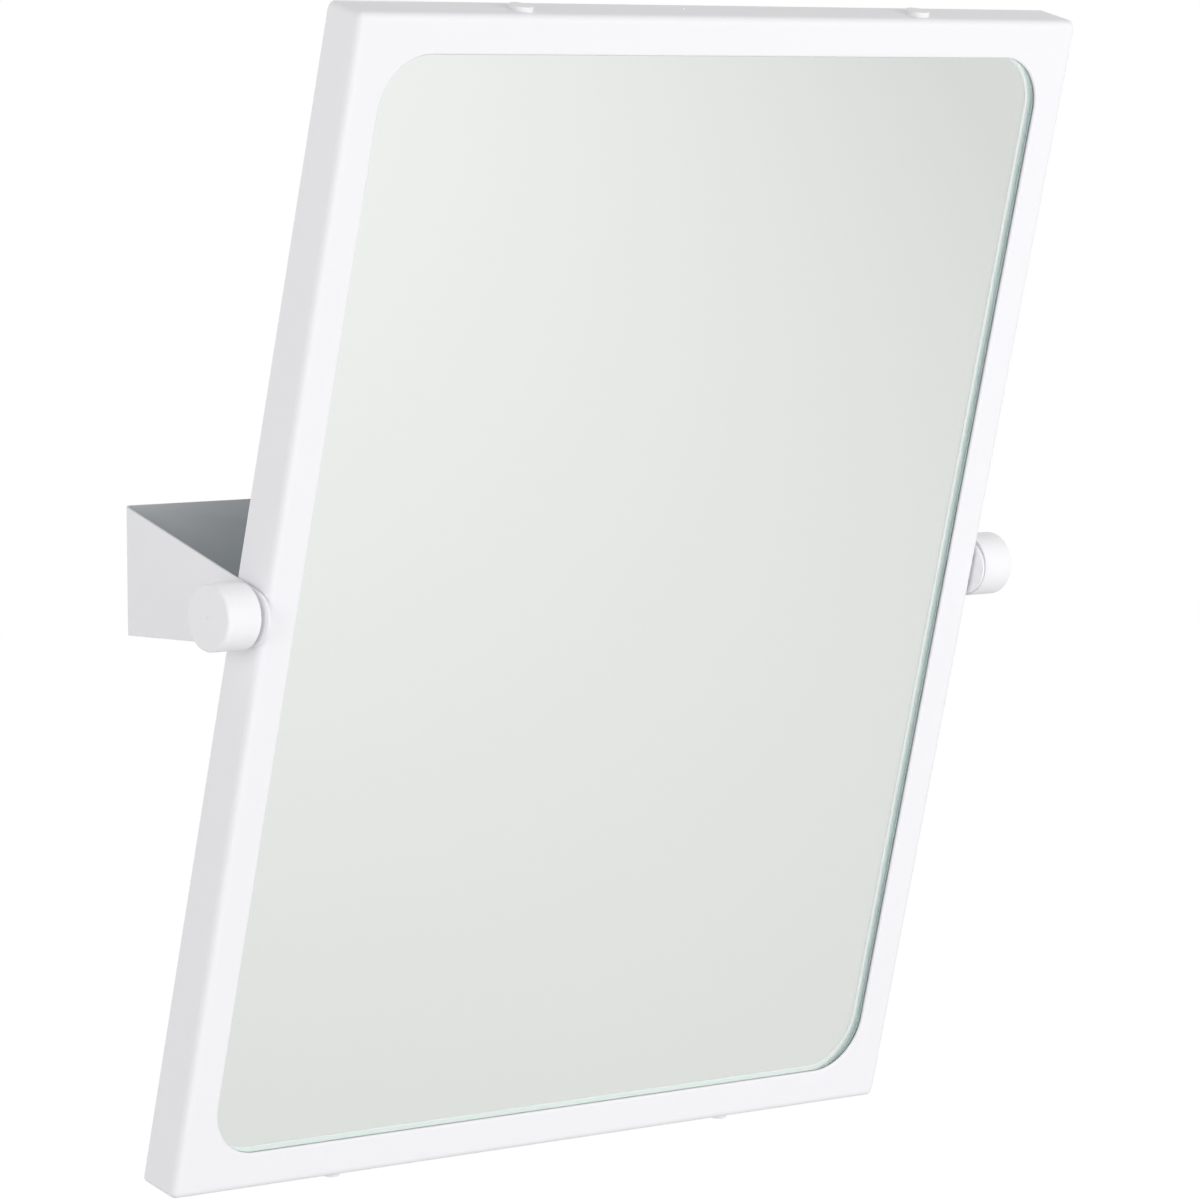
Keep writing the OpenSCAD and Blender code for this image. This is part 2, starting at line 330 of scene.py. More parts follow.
class DepthUnderLip(Effect):
    """Mask of how deep a place lies under the lip that goes round a rounded window; it sets the
    share of painted shade on the lip's back.
    """

    title = "depth under lip"
    inputs = {
        "Middle": (VECTOR, (0.0, 0.0, 0.0)),
        "Turn": (VECTOR, (0.0, 0.0, 0.0)),
        "Straight": (VECTOR, (0.2, 1.0, 0.2)),
        "Corner": (FLOAT, 0.02),
        "Reach": (FLOAT, 0.005),
    }
    outputs = {"Mask": FLOAT}

    @classmethod
    def wire(cls, wiring: Wiring, given: Sockets) -> tuple[Source, ...]:
        """Measures the distance from the window's outline.

        Args:
            wiring: The group's tree.
            given: The group's input values.

        Returns:
            The mask.
        """
        place = wiring.add("TexCoord").outputs["Object"]
        flat = wiring.add("Mapping", vector_type="TEXTURE", in_Vector=place,
                          in_Location=given["Middle"], in_Rotation=given["Turn"])
        folded = wiring.add("VectorMath", operation="ABSOLUTE", in_0=flat)
        past = wiring.add("VectorMath", operation="SUBTRACT", in_0=folded,
                          in_1=given["Straight"])
        outside = wiring.add("VectorMath", operation="MAXIMUM", in_0=past)
        away = wiring.add("VectorMath", operation="LENGTH", in_0=outside).outputs["Value"]
        depth = wiring.add("Math", operation="SUBTRACT", in_0=away, in_1=given["Corner"])
        return (wiring.add("Math", operation="DIVIDE", use_clamp=True, in_0=depth,
                           in_1=given["Reach"]),)


# ---------------------------------------------------------------- finishes


@dataclass(frozen=True)
class Finish:
    """A finish that fills one material slot of the record, or a part of one."""

    part: ClassVar[str] = ""
    made: ClassVar[dict["Finish", bpy.types.Material]] = {}

    slot: Slot

    def material(self) -> bpy.types.Material:
        """Gives the finish's material, building it at the first call.

        Returns:
            The material, named after the slot.
        """
        if self not in self.made:
            material = bpy.data.materials.new(f"{self.slot.value}{self.part}_finish")
            material.use_nodes = True
            wiring = Wiring(material.node_tree)
            shader = wiring.add("BsdfPrincipled")
            for name, value in self.looks(wiring).items():
                wiring.feed(shader.inputs[name], value)
            wiring.add("OutputMaterial", in_Surface=shader)
            self.made[self] = material
        return self.made[self]

    def looks(self, wiring: Wiring) -> dict[str, object]:
        """Gives what feeds the Principled BSDF; each finish has its own.

        Args:
            wiring: The material's node tree.

        Returns:
            Nodes, outputs or plain values by the name of the shader's input.
        """
        raise NotImplementedError


@dataclass(frozen=True)
class GrainedFinish(Finish):
    """An opaque finish with two near tones, fine grain and slightly polished edges."""

    tone: Colour
    other_tone: Colour
    roughness: float
    polished: float
    grains_per_mm: float
    waves_per_mm: float
    wave_share: float
    depth_mm: float
    metallic: float = 0.0
    patches_per_m: float = 9.0
    speck: float = 0.15
    roughness_spread: float = 0.05

    def looks(self, wiring: Wiring) -> dict[str, object]:
        """Gives tone, grain and edge polish.

        Args:
            wiring: The material's node tree.

        Returns:
            What feeds each input of the shader.
        """
        tone = wiring.add("Group", node_tree=SoftTone.tree(), in_Tone=with_alpha(self.tone),
                          in_Other_tone=with_alpha(self.other_tone),
                          in_Patches_per_metre=self.patches_per_m, in_Speck=self.speck)
        grain = wiring.add("Group", node_tree=SurfaceGrain.tree(),
                           in_Grains_per_metre=self.grains_per_mm / MM,
                           in_Waves_per_metre=self.waves_per_mm / MM,
                           in_Wave_share=self.wave_share)
        spread = wiring.add("MapRange", in_Value=grain.outputs["Mask"],
                            in_To_Min=self.roughness - self.roughness_spread,
                            in_To_Max=self.roughness + self.roughness_spread)
        edges = wiring.add("Group", node_tree=EdgePolish.tree())
        return {
            "Base Color": tone,
            "Roughness": wiring.add("Mix", in_Factor=edges, in_A=spread, in_B=self.polished),
            "Metallic": self.metallic,
            "Normal": wiring.add("Bump", in_Strength=1.0, in_Distance=self.depth_mm * MM,
                                 in_Height=grain),
        }


@dataclass(frozen=True)
class LipBackFinish(GrainedFinish):
    """The back of the thin lip, which light comes through."""

    part: ClassVar[str] = "_lip_back"

    spread_mm: float = 200.0
    spread_by_colour: Colour = (0.45, 1.0, 0.96)
    shine: float = 0.2

    def looks(self, wiring: Wiring) -> dict[str, object]:
        """Lets light through the grained finish.

        Args:
            wiring: The material's node tree.

        Returns:
            What feeds each input of the shader.
        """
        return super().looks(wiring) | {
            "Subsurface Weight": 1.0,
            "Subsurface Radius": self.spread_by_colour,
            "Subsurface Scale": self.spread_mm * MM,
            "Specular IOR Level": self.shine,
        }


@dataclass(frozen=True)
class LipWallFinish(LipBackFinish):
    """The thin edge of the lip round the window, which light comes through evenly."""

    part: ClassVar[str] = "_lip_wall"

    spread_by_colour: Colour = (1.0, 1.0, 1.0)


@dataclass(frozen=True)
class DeepLipFinish(LipBackFinish):
    """The part of the lip's back far from the window, with painted shade that darkens it further
    in.
    """

    part: ClassVar[str] = "_lip_depth"

    spread_mm: float = 30.0
    spread_by_colour: Colour = (0.82, 1.0, 1.02)
    # painted shade: the dark tone that the lip's back fades to where it lies deepest under the
    # lip
    deep_tone: Colour = (0.07, 0.09, 0.087)
    middle: Point3 = (0.0, 0.0, 0.0)
    tilt: float = 0.0
    straight: Point3 = (0.0, 0.0, 0.0)
    corner: float = 28.0
    reach: float = 3.0

    def looks(self, wiring: Wiring) -> dict[str, object]:
        """Adds painted shade: the colour falls towards a dark tone away from the window.

        Args:
            wiring: The material's node tree.

        Returns:
            What feeds each input of the shader.
        """
        looks = super().looks(wiring)
        # share of painted shade, from how deep the place lies under the lip
        depth = wiring.add("Group", node_tree=DepthUnderLip.tree(),
                           in_Middle=Vector(self.middle) * MM, in_Turn=(self.tilt, 0, 0),
                           in_Straight=Vector(self.straight) * MM, in_Corner=self.corner * MM,
                           in_Reach=self.reach * MM)
        # painted shade: the grained tone blends towards the dark tone further under the lip
        tone = wiring.blend(depth, looks["Base Color"], with_alpha(self.deep_tone))
        return looks | {"Base Color": tone}


@dataclass(frozen=True)
class GlassFinish(Finish):
    """Clear float glass with a faint green tint and the slow wave of its making."""

    tint: Colour
    ior: float
    wave_mm: float
    ripples_per_m: float = 14.0
    waves_per_m: float = 5.0
    wave_share: float = 0.7

    def looks(self, wiring: Wiring) -> dict[str, object]:
        """Makes the shader clear and gives its surface a slow wave.

        Args:
            wiring: The material's node tree.

        Returns:
            What feeds each input of the shader.
        """
        wave = wiring.add("Group", node_tree=SurfaceGrain.tree(),
                          in_Grains_per_metre=self.ripples_per_m,
                          in_Waves_per_metre=self.waves_per_m, in_Wave_share=self.wave_share)
        return {
            "Base Color": with_alpha(self.tint),
            "Transmission Weight": 1.0,
            "IOR": self.ior,
            "Roughness": 0.0,
            "Normal": wiring.add("Bump", in_Strength=1.0, in_Distance=self.wave_mm * MM,
                                 in_Height=wave),
        }


@dataclass(frozen=True)
class SilverFinish(Finish):
    """Silver coat behind the glass, a little uneven in tone."""

    tone: Colour
    other_tone: Colour
    patches_per_m: float = 3.0

    def looks(self, wiring: Wiring) -> dict[str, object]:
        """Makes the shader a mirror.

        Args:
            wiring: The material's node tree.

        Returns:
            What feeds each input of the shader.
        """
        tone = wiring.add("Group", node_tree=SoftTone.tree(), in_Tone=with_alpha(self.tone),
                          in_Other_tone=with_alpha(self.other_tone),
                          in_Patches_per_metre=self.patches_per_m, in_Speck=0.0)
        return {"Base Color": tone, "Metallic": 1.0, "Roughness": 0.0}


FRAME_WHITE = GrainedFinish(
    Slot.FRAME_WHITE, tone=(0.90, 0.895, 0.922), other_tone=(0.89, 0.887, 0.912), roughness=0.42,
    polished=0.32, grains_per_mm=1.1, waves_per_mm=0.05, wave_share=0.25, depth_mm=0.010)
KNOB_WHITE = GrainedFinish(
    Slot.KNOB_WHITE, tone=(0.912, 0.907, 0.925), other_tone=(0.902, 0.898, 0.915), roughness=0.38,
    polished=0.28, grains_per_mm=1.4, waves_per_mm=0.08, wave_share=0.2, depth_mm=0.008)
CAP_WHITE = GrainedFinish(
    Slot.CAP_WHITE, tone=(0.89, 0.888, 0.90), other_tone=(0.88, 0.878, 0.892), roughness=0.36,
    polished=0.28, grains_per_mm=1.6, waves_per_mm=0.1, wave_share=0.2, depth_mm=0.006)
BRACKET_PAINT = GrainedFinish(
    Slot.BRACKET_PAINT, tone=(0.888, 0.886, 0.905), other_tone=(0.878, 0.877, 0.896),
    roughness=0.46, polished=0.38, grains_per_mm=0.9, waves_per_mm=0.35, wave_share=0.7,
    depth_mm=0.02)
TRAY_PLASTIC = GrainedFinish(
    Slot.TRAY_PLASTIC, tone=(0.165, 0.21, 0.232), other_tone=(0.155, 0.2, 0.22), roughness=0.55,
    polished=0.42, grains_per_mm=1.0, waves_per_mm=0.05, wave_share=0.25, depth_mm=0.02)
WASHER_NYLON = GrainedFinish(
    Slot.WASHER_NYLON, tone=(0.80, 0.80, 0.79), other_tone=(0.76, 0.76, 0.74), roughness=0.5,
    polished=0.4, grains_per_mm=2.0, waves_per_mm=0.2, wave_share=0.3, depth_mm=0.006)
BLOCK_NYLON = GrainedFinish(
    Slot.BLOCK_NYLON, tone=(0.05, 0.05, 0.055), other_tone=(0.07, 0.07, 0.075), roughness=0.6,
    polished=0.45, grains_per_mm=3.0, waves_per_mm=0.3, wave_share=0.3, depth_mm=0.02)
FOAM = GrainedFinish(
    Slot.FOAM, tone=(0.06, 0.06, 0.065), other_tone=(0.09, 0.09, 0.095), roughness=0.9,
    polished=0.85, grains_per_mm=2.5, waves_per_mm=0.5, wave_share=0.3, depth_mm=0.12)
INSERT_BRASS = GrainedFinish(
    Slot.INSERT_BRASS, tone=(0.72, 0.52, 0.22), other_tone=(0.62, 0.44, 0.18), roughness=0.32,
    polished=0.2, grains_per_mm=2.0, waves_per_mm=0.3, wave_share=0.4, depth_mm=0.01,
    metallic=1.0)
ZINC_STEEL = GrainedFinish(
    Slot.ZINC_STEEL, tone=(0.60, 0.61, 0.63), other_tone=(0.52, 0.53, 0.56), roughness=0.34,
    polished=0.22, grains_per_mm=2.0, waves_per_mm=0.3, wave_share=0.4, depth_mm=0.008,
    metallic=1.0)
FLOAT_GLASS = GlassFinish(Slot.FLOAT_GLASS, tint=(0.93, 0.975, 0.95), ior=1.52, wave_mm=0.002)
SILVER = SilverFinish(Slot.SILVER, tone=(0.93, 0.935, 0.92), other_tone=(0.92, 0.925, 0.91))


# ---------------------------------------------------------------- modelling


def middle_of(low: Vector, high: Vector) -> Vector:
    """Gives the point halfway between two points."""
    return (low + high) / 2


def quarter(middle: Point2, radius: float, start: float, steps: int) -> list[Point2]:
    """Gives the points of a quarter turn in a section.

    Args:
        middle: Centre of the turn, as inset and depth.
        radius: Its radius.
        start: Angle of its first point in degrees, from the inset axis towards depth.
        steps: Number of steps.

    Returns:
        The points from the first to the last.
    """
    angles = [math.radians(start + 90 * step / steps) for step in range(steps + 1)]
    return [(middle[0] + radius * math.cos(angle), middle[1] + radius * math.sin(angle))
            for angle in angles]


@dataclass(frozen=True)
class Ring:
    """A rounded rectangle that stands across the mirror's depth."""

    width: float
    height: float
    radius: float
    depth: float


class Workpiece:
    """A mesh on the bench, shaped in edit mode with the tools that a hand would use."""

    def __init__(self, name: str, corner_steps: int = 16) -> None:
        """Lays an empty mesh on the bench and opens it.

        Args:
            name: Name of the finished piece.
            corner_steps: Number of steps in the corners of its rings.
        """
        self.corner_steps = corner_steps
        self.painted: list[tuple[Finish, list[int]]] = []
        self.item = bpy.data.objects.new(name, bpy.data.meshes.new(name))
        bpy.context.scene.collection.objects.link(self.item)
        self.open()

    def open(self) -> None:
        """Puts this piece alone in edit mode, with nothing selected."""
        if bpy.context.mode != "OBJECT":
            bpy.ops.object.mode_set(mode="OBJECT")
        bpy.ops.object.select_all(action="DESELECT")
        bpy.context.view_layer.objects.active = self.item
        self.item.select_set(True)
        bpy.ops.object.mode_set(mode="EDIT")
        bpy.ops.mesh.select_mode(type="VERT")
        bpy.ops.mesh.select_all(action="DESELECT")

    def close(self) -> None:
        """Leaves edit mode."""
        bpy.ops.object.mode_set(mode="OBJECT")

    def select(self, kind: str, test: Callable[[bmesh.types.BMElemSeq], bool]) -> None:
        """Selects only the corners, edges or faces that pass a test.

        Args:
            kind: VERT, EDGE or FACE.
            test: Takes one element of the edit mesh and says whether it is wanted.
        """
        bpy.ops.mesh.select_mode(type=kind)
        bpy.ops.mesh.select_all(action="DESELECT")
        edit = bmesh.from_edit_mesh(self.item.data)
        for element in {"VERT": edit.verts, "EDGE": edit.edges, "FACE": edit.faces}[kind]:
            if test(element):
                element.select_set(True)
        edit.select_flush_mode()
        bmesh.update_edit_mesh(self.item.data)

    def select_points(self, test: Callable[[Vector], bool]) -> None:
        """Selects the corners whose place passes a test."""
        self.select("VERT", lambda vert: test(vert.co))

    def select_edges(self, test: Callable[[Vector], bool]) -> None:
        """Selects the edges whose two ends both pass a test."""
        self.select("EDGE", lambda edge: all(test(vert.co) for vert in edge.verts))

    def select_facing(self, way: Vector, test: Callable[[Vector], bool]) -> None:
        """Selects the faces that look one way and whose middle passes a test.

        Args:
            way: Unit vector of the way that they look.
            test: Takes a face's middle and says whether it is wanted.
        """
        aligned = 0.9999
        self.select("FACE", lambda face: face.normal.dot(way) > aligned
                    and test(face.calc_center_median()))

    def ring(self, ring: Ring, filled: bool) -> None:
        """Adds a rounded rectangle.

        Args:
            ring: Its size and place.
            filled: Whether it keeps its face, or is only a loop of edges.
        """
        middle = (0.0, ring.depth, 0.0)
        bpy.ops.mesh.primitive_plane_add(size=1, location=middle, rotation=(math.pi / 2, 0, 0))
        bpy.ops.transform.resize(value=(ring.width, 1, ring.height), center_override=middle)
        bpy.ops.mesh.bevel(affect="VERTICES", offset=ring.radius, offset_type="OFFSET",
                           segments=self.corner_steps, profile=0.5, clamp_overlap=False)
        if not filled:
            bpy.ops.mesh.delete(type="ONLY_FACE")

    def loft(self, rings: list[Ring], closed: bool) -> None:
        """Raises a wall from each ring to the next.

        Args:
            rings: The rings in order.
            closed: Whether the last ring is joined to the first; otherwise both get a face.
        """
        pairs = list(zip(rings, rings[1:]))
        if closed:
            pairs.append((rings[-1], rings[0]))
        for here, there in pairs:
            self.ring(here, filled=False)
            self.ring(there, filled=False)
            bpy.ops.mesh.select_all(action="SELECT")
            bpy.ops.mesh.bridge_edge_loops()
            bpy.ops.mesh.hide()
        if not closed:
            self.ring(rings[0], filled=True)
            self.ring(rings[-1], filled=True)
        bpy.ops.mesh.reveal()
        self.tidy()

    def rod(self, diameter: float, length: float, start: Vector, way: Vector, sides: int) -> None:
        """Adds a round rod.

        Args:
            diameter: Its diameter.
            length: Its length.
            start: Middle of its first end.
            way: Unit vector from its first end to its last.
            sides: Number of flat sides.
        """
        turn = way.to_track_quat("Z", "Y").to_euler()
        bpy.ops.mesh.primitive_cylinder_add(vertices=sides, radius=diameter / 2, depth=length,
                                            location=start + way * length / 2, rotation=turn)

    def block(self, low: Vector, high: Vector) -> None:
        """Adds a square block between two corners."""
        bpy.ops.mesh.primitive_cube_add(size=1, location=middle_of(low, high))
        bpy.ops.transform.resize(value=high - low, center_override=middle_of(low, high))

    def extrude(self, move: Vector) -> None:
        """Extrudes the selection as one region and moves it."""
        bpy.ops.mesh.extrude_region_move(TRANSFORM_OT_translate={"value": move})

    def inset(self, width: float) -> None:
        """Insets the selected faces by a width."""
        bpy.ops.mesh.inset(thickness=width, depth=0.0, use_even_offset=True)

    def round_edges(self, radius: float, steps: int) -> None:
        """Rounds the selected edges."""
        bpy.ops.mesh.bevel(affect="EDGES", offset=radius, offset_type="OFFSET", segments=steps,
                           profile=0.5, clamp_overlap=False)

    def modify(self, kind: str, **values: object) -> None:
        """Adds a modifier and applies it.

        Args:
            kind: Blender's type name of the modifier.
            values: Its settings by name.
        """
        self.close()
        modifier = self.item.modifiers.new(kind.lower(), kind)
        for key, value in values.items():
            setattr(modifier, key, value)
        bpy.ops.object.modifier_apply(modifier=modifier.name)
        self.open()

    def cut(self, tool: "Workpiece", operation: str = "DIFFERENCE") -> None:
        """Cuts another piece out of this one, or joins it on, and throws the tool away.

        Args:
            tool: The other piece.
            operation: DIFFERENCE or UNION.
        """
        self.open()
        self.modify("BOOLEAN", object=tool.item, operation=operation, solver="EXACT")
        mesh = tool.item.data
        bpy.data.objects.remove(tool.item)
        bpy.data.meshes.remove(mesh)

    def tidy(self) -> None:
        """Merges doubles and turns all faces outwards."""
        bpy.ops.mesh.select_mode(type="VERT")
        bpy.ops.mesh.select_all(action="SELECT")
        bpy.ops.mesh.remove_doubles(threshold=TINY / 4)
        bpy.ops.mesh.normals_make_consistent(inside=False)

    def paint(self, finish: Finish, test: Callable[[Vector], bool]) -> None:
        """Notes another finish for the faces whose middle passes a test.

        Args:
            finish: The other finish.
            test: Takes a face's middle and says whether it gets the finish.
        """
        self.select("FACE", lambda face: test(face.calc_center_median()))
        edit = bmesh.from_edit_mesh(self.item.data)
        self.painted.append((finish, [face.index for face in edit.faces if face.select]))

    def hand_over(self, place: Matrix, finish: Finish, body: Body, node: str) -> None:
        """Puts the piece in its place, scales it to metres, dresses it and lets it ride.

        Args:
            place: From the piece's own frame to the row frame, in millimetres.
            finish: The finish of its surface.
            body: The body that it moves with.
            node: The CAD node that it stands for.
        """
        self.close()
        mesh = self.item.data
        mesh.transform(Matrix.Scale(MM, 4) @ place)
        mesh.materials.append(finish.material())
        for number, (other, faces) in enumerate(self.painted, start=1):
            mesh.materials.append(other.material())
            for face in faces:
                mesh.polygons[face].material_index = number
        bpy.ops.object.shade_smooth_by_angle(angle=SMOOTH_BELOW)
        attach(self.item, body.value)
        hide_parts(node)
        LOG.info("%s: %d faces, on %s", self.item.name, len(mesh.polygons), body.value)


# ---------------------------------------------------------------- the object's frames


@dataclass(frozen=True)
class MirrorSpace:
    """The mirror's own frame: origin on the pivot axis, front towards -Y, in millimetres."""

    pivot: Vector
    tilt: float = math.radians(15)
    border: float = 20.0
    window_r: float = 28.0

    @property
    def to_row(self) -> Matrix:
        """From the mirror's own frame to the row frame."""
        return Matrix.Translation(self.pivot) @ Matrix.Rotation(self.tilt, 4, "X")

    def box(self, node: str) -> tuple[Vector, Vector]:
        """Measures a CAD node in the mirror's own frame.

        Args:
            node: Name of the node.

        Returns:
            Its lowest and highest corners in millimetres.
        """
        back = self.to_row.inverted() @ Matrix.Scale(1 / MM, 4)
        points = [back @ vert.co for vert in frame["nodes"][node].data.vertices]
        low = Vector(min(point[axis] for point in points) for axis in range(3))
        high = Vector(max(point[axis] for point in points) for axis in range(3))
        return low, high

    def screw(self, side: Side, edge: Edge, height: float) -> Vector:
        """Gives a place on the axis of one of the tray's screws.

        Args:
            side: The screw's side.
            edge: The edge of the frame that it goes through.
            height: How far the place lies above or below the pivot axis.

        Returns:
            The place.
        """
        cap = middle_of(*self.box("screw_cap_top_right"))
        return Vector((side.value * cap.x, cap.y, edge.value * height))


def joint_place(name: str) -> Vector:
    """Gives a joint's place in millimetres.

    Args:
        name: Name of the joint.

    Returns:
        Its point in the row frame.
    """
    joint = next(joint for joint in frame["joints"] if joint["name"] == name)
    return Vector(joint["pos_m"]) / MM


def row_box(node: str) -> tuple[Vector, Vector]:
    """Gives a CAD node's lowest and highest corners in the row frame, in millimetres."""
    low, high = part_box(node)
    return low / MM, high / MM


# ---------------------------------------------------------------- the mirror's pieces


@dataclass
class FrameMoulding:
    """The white frame: round front edges, a lip round the window and a rebate for the glass."""

    space: MirrorSpace
    edge_r: float = 4.0
    edge_steps: int = 8
    back_edge_r: float = 0.5
    lip_t: float = 2.0
    lip_edge_r: float = 1.2
    lip_edge_steps: int = 6
    lip_back_r: float = 0.15
    lip_back_steps: int = 2
    # where the painted shade on the lip's back begins, at top and bottom and at the sides
    lip_dim_level: float = 3.0
    lip_dim_side: float = 1.0
    wall_t: float = 3.0
    front_t: float = 3.0
    glass_play: float = 0.5
    support: float = 0.5
    least_corner_r: float = 0.25
    stud_hole_d: float = 7.3
    stud_hole_sides: int = 48
    screw_hole_d: float = 4.3
    screw_hole_sides: int = 32
    gate_d: float = 1.6
    gate_h: float = 0.5
    gate_root: float = 0.3
    gate_edge_r: float = 0.15
    gate_x: float = -22.5
    gate_depth: float = 16.5

    def __post_init__(self) -> None:
        """Lays out the work and reads the sizes that the CAD frame and glass give."""
        self.work = Workpiece("frame_moulding")
        low, high = self.space.box("front_frame")
        self.width = high.x - low.x
        self.height = -2 * low.z
        self.front = low.y
        self.back = high.y
        self.rear = self.front + self.lip_t
        low, high = self.space.box("mirror_glass")
        self.rebate_w = high.x - low.x + 2 * self.glass_play
        self.rebate_h = high.z - low.z + 2 * self.glass_play
        self.rebate_r = (self.space.window_r
                         + (self.rebate_w - (self.width - 2 * self.space.border)) / 2)

    def ring(self, point: Point2, radius: float) -> Ring:
        """Gives the ring that a section point draws round the frame.

        Args:
            point: Inset from the outer wall, and depth.
            radius: Radius of the ring's corners.

        Returns:
            The ring.
        """
        inset, depth = point
        return Ring(self.width - 2 * inset, self.height - 2 * inset, radius, depth)

    def outer_rings(self) -> list[Ring]:
        """Gives the rings of the back edge, the outer wall and the round front edge.

        Returns:
            The rings from back to front.
        """
        points = [
            *quarter((self.back_edge_r, self.back - self.back_edge_r), self.back_edge_r, 90,
                     FINE_STEPS),
            (0.0, self.back - self.back_edge_r - self.support),
            (0.0, self.front + self.edge_r + self.support),
            *quarter((self.edge_r, self.front + self.edge_r), self.edge_r, 180, self.edge_steps),
            (self.edge_r + self.support, self.front),
        ]
        return [self.ring(point, max(self.edge_r - point[0], self.least_corner_r))
                for point in points]

    def lip_rings(self) -> list[Ring]:
        """Gives the rings of the lip round the window.

        Returns:
            The rings from its front edge to its rear edge.
        """
        edge_in = self.space.border - self.lip_edge_r
        back_in = self.space.border - self.lip_back_r
        points = [
            (edge_in - self.support, self.front),
            *quarter((edge_in, self.front + self.lip_edge_r), self.lip_edge_r, 270,
                     self.lip_edge_steps),
            *quarter((back_in, self.rear - self.lip_back_r), self.lip_back_r, 0,
                     self.lip_back_steps),
        ]
        return [self.ring(point, self.space.window_r + self.space.border - point[0])
                for point in points]

    def inner_rings(self) -> list[Ring]:
        """Gives the rings of the lip's part with painted shade, the glass rebate, the cavity and
        the rim.

        Returns:
            The rings from front to back.
        """
        floor = self.front + self.front_t
        edge_r = self.back_edge_r
        inner_r = self.edge_r - self.wall_t
        return [
            Ring(self.width - 2 * (self.space.border - self.lip_dim_side),
                 self.height - 2 * (self.space.border - self.lip_dim_level),
                 self.space.window_r + self.lip_dim_level, self.rear),
            Ring(self.rebate_w, self.rebate_h, self.rebate_r, self.rear),
            Ring(self.rebate_w, self.rebate_h, self.rebate_r, floor),
            self.ring((self.wall_t, floor), inner_r),
            *[self.ring(point, inner_r + self.wall_t - point[0]) for point in
              quarter((self.wall_t - edge_r, self.back - edge_r), edge_r, 0, FINE_STEPS)],
        ]

    def paint_lip(self) -> None:
        """Gives the lip its finishes: edge, back near the window, and back further in with
        painted shade.
        """
        window_r = self.space.window_r
        inset = self.space.border + window_r
        straight = Vector((self.width / 2 - inset, 0, self.height / 2 - inset))
        dim_r = window_r + self.lip_dim_level
        dim_start = straight - Vector((self.lip_dim_level - self.lip_dim_side, 0, 0))
        base = {item.name: getattr(FRAME_WHITE, item.name) for item in fields(FRAME_WHITE)}

        def away(middle: Vector, start: Vector) -> float:
            """Measures how far a place lies outside a middle rectangle."""
            return math.hypot(max(abs(middle.x) - start.x, 0), max(abs(middle.z) - start.z, 0))

        def on_edge(middle: Vector) -> bool:
            """Says whether a place is on the lip's edge towards the window."""
            return (self.front + self.lip_edge_r - TINY < middle.y < self.rear - TINY
                    and away(middle, straight) < window_r + self.lip_edge_r)

        def on_back(middle: Vector, dim: bool) -> bool:
            """Says whether a place is on the lip's back, in its part with painted shade or before
            it.
            """
            return abs(middle.y - self.rear) < TINY and (away(middle, dim_start) >= dim_r) is dim

        # the lip's back further in gets painted shade, darkening away from the window
        painted_shade_finish = DeepLipFinish(**base, middle=tuple(self.space.pivot), tilt=self.space.tilt,
                             straight=(dim_start.x, self.back, dim_start.z), corner=dim_r)
        self.work.paint(LipWallFinish(**base), on_edge)
        self.work.paint(LipBackFinish(**base), lambda middle: on_back(middle, False))
        self.work.paint(painted_shade_finish, lambda middle: on_back(middle, True))

    def drill(self) -> None:
        """Drills the stud holes in the sides and the screw holes in top and bottom."""
        reach = 2 * self.wall_t
        tool = Workpiece("drills")
        for side in Side:
            start = Vector((side.value * (self.width / 2 - reach), 0, 0))
            tool.rod(self.stud_hole_d, 2 * reach, start, Vector((side.value, 0, 0)),
                     self.stud_hole_sides)
            for edge in Edge:
                start = self.space.screw(side, edge, self.height / 2 - reach)
                tool.rod(self.screw_hole_d, 2 * reach, start, Vector((0, 0, edge.value)),
                         self.screw_hole_sides)
        self.work.cut(tool)

    def gate_mark(self) -> None:
        """Leaves the nub of the moulding gate on the top face."""
        length = self.gate_h + self.gate_root
        start = Vector((self.gate_x, self.front + self.gate_depth,
                        self.height / 2 - self.gate_root))
        tool = Workpiece("gate_nub")
        tool.rod(self.gate_d, length, start, Vector((0, 0, 1)), self.screw_hole_sides)
        tool.select_edges(lambda point: point.z > start.z + length - TINY)
        tool.round_edges(self.gate_edge_r, FINE_STEPS)
        self.work.cut(tool, "UNION")

    def build(self) -> None:
        """Models the frame and puts it in its place."""
        self.work.loft(self.outer_rings() + self.lip_rings() + self.inner_rings(), closed=True)
        self.drill()
        self.gate_mark()
        self.paint_lip()
        self.work.hand_over(self.space.to_row, FRAME_WHITE, Body.MIRROR, "front_frame")


@dataclass
class Pane:
    """A thin pane with round corners and chamfered edges, such as the glass or its coat."""

    space: MirrorSpace
    name: str
    node: str
    finish: Finish
    chamfer: float
    trim: float = 0.0
    front_shift: float = 0.0
    corner_steps: int = 24

    def corner_r(self) -> float:
        """Works out the corner radius from how far the glass reaches behind the lip.

        Returns:
            The radius of the pane's corners.
        """
        low, high = self.space.box(self.node)
        frame_low, frame_high = self.space.box("front_frame")
        lap = (high.x - low.x - (frame_high.x - frame_low.x) + 2 * self.space.border) / 2
        return self.space.window_r + lap - self.trim

    def build(self) -> None:
        """Models the pane and puts it in its place."""
        low, high = self.space.box(self.node)
        trim = Vector((self.trim, 0, self.trim))
        low, high = low + trim, high - trim
        low.y += self.front_shift
        radius = self.corner_r()
        width, height = high.x - low.x, high.z - low.z
        small = (width - 2 * self.chamfer, height - 2 * self.chamfer, radius - self.chamfer)
        work = Workpiece(self.name, self.corner_steps)
        work.loft([
            Ring(*small, low.y),
            Ring(width, height, radius, low.y + self.chamfer),
            Ring(width, height, radius, high.y - self.chamfer),
            Ring(*small, high.y),
        ], closed=False)
        work.hand_over(self.space.to_row, self.finish, Body.MIRROR, self.node)


